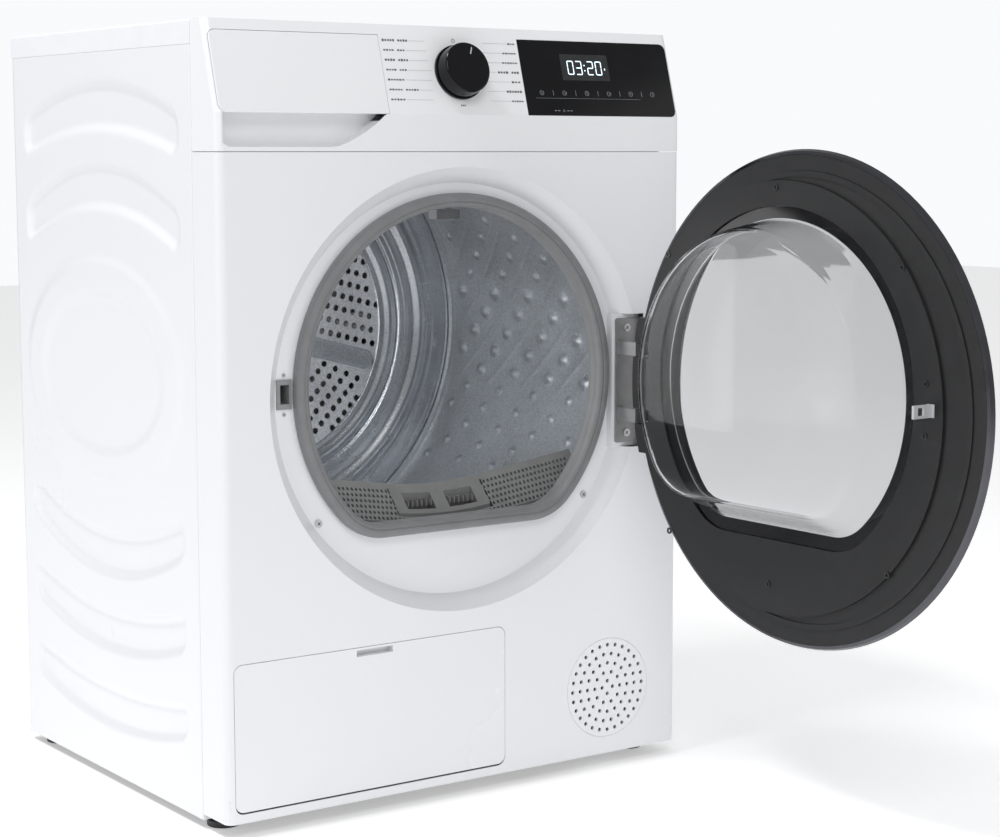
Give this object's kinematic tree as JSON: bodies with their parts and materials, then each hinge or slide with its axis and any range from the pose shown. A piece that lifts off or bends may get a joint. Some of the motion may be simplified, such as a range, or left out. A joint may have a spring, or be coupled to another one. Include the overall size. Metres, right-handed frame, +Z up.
{
  "type": "clothes dryer",
  "caption": "Front-loading clothes dryer with an open round door, a turning drum, a lint filter, a pull-out water tank, a service flap and a program knob.",
  "frame": {"origin": "on the floor, under the middle of the cabinet", "axes": "+X to the right as seen from the front, +Y to the rear, +Z up; the door opens towards -Y"},
  "size_m": [0.6, 1.0735, 0.842],
  "materials": {
    "left_side_panel": "gloss white enamel",
    "right_side_panel": "gloss white enamel",
    "front_panel": "gloss white enamel",
    "worktop": "white laminate",
    "rear_panel": "zinc-coated sheet",
    "control_panel": "gloss white",
    "display_glass": "gloss black pane",
    "control_board": "green circuit board",
    "program_knob": "gloss black",
    "tank_front": "gloss white",
    "tank_tub": "milky translucent",
    "tank_rail": "grey",
    "crossbars": "galvanised",
    "base_tub": "black-grey",
    "front_bulkhead": "galvanised",
    "rear_bulkhead": "galvanised",
    "drum_felt_seals": "felt",
    "door_seal": "dark grey",
    "drum_lamp": "frosted lens",
    "filter_housing": "dark grey",
    "lint_filter": "dark grey",
    "latch_housing": "light grey",
    "latch_catch": "grey",
    "hinge_bracket": "satin grey metal",
    "drum_shell": "satin galvanised steel",
    "drum_back": "satin galvanised steel",
    "drum_lifters": "grey",
    "door_frame": "charcoal",
    "door_hinge_leaf": "satin metal",
    "door_ring": "gloss black trim",
    "door_glass": "tinted dome",
    "door_bowl": "clear moulded window",
    "window_trim": "black band",
    "door_hook": "light grey",
    "door_screws": "blackened",
    "service_flap": "gloss white",
    "exchanger_cover": "grey",
    "cover_latch_left": "light grey",
    "cover_latch_right": "light grey",
    "foam_filter": "open-cell foam",
    "heat_exchangers": "finned aluminium",
    "air_ducts": "grey",
    "compressor": "black enamel",
    "refrigerant_pipes": "copper tube",
    "cooling_grille": "white",
    "cooling_fan": "black",
    "motor_stator": "laminated steel and bracket",
    "motor_rotor": "steel",
    "drum_belt": "black ribbed belt",
    "idler_pulley": "white nylon",
    "left_roller": "grey nylon",
    "right_roller": "grey nylon",
    "condensate_pump": "black",
    "drain_spigot": "black",
    "cable_gland": "black",
    "cabinet_screws": "zinc-plated",
    "front_left_foot": "black-grey",
    "front_right_foot": "black-grey",
    "rear_left_foot": "black-grey",
    "rear_right_foot": "black-grey"
  },
  "bodies": {
    "cabinet": {"left_side_panel": "left_side_panel", "right_side_panel": "right_side_panel", "front_panel": "front_panel", "worktop": "worktop", "rear_panel": "rear_panel", "control_panel": "control_panel", "display_glass": "display_glass", "control_board": "control_board", "tank_rail": "tank_rail", "crossbars": "crossbars", "base_tub": "base_tub", "front_bulkhead": "front_bulkhead", "rear_bulkhead": "rear_bulkhead", "drum_felt_seals": "drum_felt_seals", "door_seal": "door_seal", "drum_lamp": "drum_lamp", "filter_housing": "filter_housing", "latch_housing": "latch_housing", "hinge_bracket": "hinge_bracket", "exchanger_cover": "exchanger_cover", "foam_filter": "foam_filter", "heat_exchangers": "heat_exchangers", "air_ducts": "air_ducts", "compressor": "compressor", "refrigerant_pipes": "refrigerant_pipes", "cooling_grille": "cooling_grille", "motor_stator": "motor_stator", "drum_belt": "drum_belt", "condensate_pump": "condensate_pump", "drain_spigot": "drain_spigot", "cable_gland": "cable_gland", "cabinet_screws": "cabinet_screws"},
    "door": {"door_frame": "door_frame", "door_hinge_leaf": "door_hinge_leaf", "door_ring": "door_ring", "door_glass": "door_glass", "door_bowl": "door_bowl", "window_trim": "window_trim", "door_hook": "door_hook", "door_screws": "door_screws"},
    "drum": {"drum_shell": "drum_shell", "drum_back": "drum_back", "drum_lifters": "drum_lifters"},
    "motor_rotor": {"motor_rotor": "motor_rotor"},
    "idler_pulley": {"idler_pulley": "idler_pulley"},
    "left_roller": {"left_roller": "left_roller"},
    "right_roller": {"right_roller": "right_roller"},
    "cooling_fan": {"cooling_fan": "cooling_fan"},
    "program_knob": {"program_knob": "program_knob"},
    "lint_filter": {"lint_filter": "lint_filter"},
    "water_tank": {"tank_front": "tank_front", "tank_tub": "tank_tub"},
    "service_flap": {"service_flap": "service_flap"},
    "cover_latch_left": {"cover_latch_left": "cover_latch_left"},
    "cover_latch_right": {"cover_latch_right": "cover_latch_right"},
    "latch_catch": {"latch_catch": "latch_catch"},
    "front_left_foot": {"front_left_foot": "front_left_foot"},
    "front_right_foot": {"front_right_foot": "front_right_foot"},
    "rear_left_foot": {"rear_left_foot": "rear_left_foot"},
    "rear_right_foot": {"rear_right_foot": "rear_right_foot"}
  },
  "joints": [
    {"name": "door_hinge", "type": "hinge", "parent": "cabinet", "child": "door", "pos_m": [0.2365, -0.2785, 0.449], "axis": [0, 0, -1], "range_deg": [0, 91.7]},
    {"name": "drum_spin", "type": "hinge", "parent": "cabinet", "child": "drum", "pos_m": [0, 0, 0.49], "axis": [0, 1, 0], "continuous": true},
    {"name": "motor_spin", "type": "hinge", "parent": "cabinet", "child": "motor_rotor", "pos_m": [0.195, 0, 0.112], "axis": [0, 1, 0], "continuous": true},
    {"name": "idler_spin", "type": "hinge", "parent": "cabinet", "child": "idler_pulley", "pos_m": [0.13769, 0, 0.10621], "axis": [0, 1, 0], "continuous": true},
    {"name": "left_roller_spin", "type": "hinge", "parent": "cabinet", "child": "left_roller", "pos_m": [-0.18365, -0.176, 0.25494], "axis": [0, 1, 0], "continuous": true},
    {"name": "right_roller_spin", "type": "hinge", "parent": "cabinet", "child": "right_roller", "pos_m": [0.18365, -0.176, 0.25494], "axis": [0, 1, 0], "continuous": true},
    {"name": "cooling_fan_spin", "type": "hinge", "parent": "cabinet", "child": "cooling_fan", "pos_m": [0.196, -0.24, 0.094], "axis": [0, 1, 0], "continuous": true},
    {"name": "program_turn", "type": "hinge", "parent": "cabinet", "child": "program_knob", "pos_m": [0, -0.24214, 0.79248], "axis": [0, -0.9606, 0.2778], "continuous": true},
    {"name": "lint_filter_lift", "type": "slide", "parent": "cabinet", "child": "lint_filter", "axis": [0, 0, -1], "range_m": [-0.13, 0]},
    {"name": "water_tank_slide", "type": "slide", "parent": "cabinet", "child": "water_tank", "axis": [0, -1, 0], "range_m": [0, 0.35]},
    {"name": "service_flap_hinge", "type": "hinge", "parent": "cabinet", "child": "service_flap", "pos_m": [-0.1185, -0.2522, 0.036], "axis": [1, 0, 0], "range_deg": [0, 85]},
    {"name": "cover_latch_left_turn", "type": "hinge", "parent": "cabinet", "child": "cover_latch_left", "pos_m": [-0.262, -0.24, 0.104], "axis": [0, 1, 0], "range_deg": [0, 90]},
    {"name": "cover_latch_right_turn", "type": "hinge", "parent": "cabinet", "child": "cover_latch_right", "pos_m": [0.026, -0.24, 0.104], "axis": [0, -1, 0], "range_deg": [0, 90]},
    {"name": "latch_catch_pivot", "type": "hinge", "parent": "cabinet", "child": "latch_catch", "pos_m": [-0.2184, -0.213, 0.4585], "axis": [0, 0, -1], "range_deg": [0, 18], "stiffness_Nm_per_rad": 0.02, "springref_deg": -11.46},
    {"name": "front_left_foot_screw", "type": "slide", "parent": "cabinet", "child": "front_left_foot", "axis": [0, 0, -1], "range_m": [0, 0.015]},
    {"name": "front_right_foot_screw", "type": "slide", "parent": "cabinet", "child": "front_right_foot", "axis": [0, 0, -1], "range_m": [0, 0.015]},
    {"name": "rear_left_foot_screw", "type": "slide", "parent": "cabinet", "child": "rear_left_foot", "axis": [0, 0, -1], "range_m": [0, 0.015]},
    {"name": "rear_right_foot_screw", "type": "slide", "parent": "cabinet", "child": "rear_right_foot", "axis": [0, 0, -1], "range_m": [0, 0.015]}
  ],
  "couplings": [
    {"joint": "motor_spin", "follows": "drum_spin", "ratio": 27.6},
    {"joint": "idler_spin", "follows": "drum_spin", "ratio": -17.25},
    {"joint": "left_roller_spin", "follows": "drum_spin", "ratio": -12.546},
    {"joint": "right_roller_spin", "follows": "drum_spin", "ratio": -12.546}
  ]
}
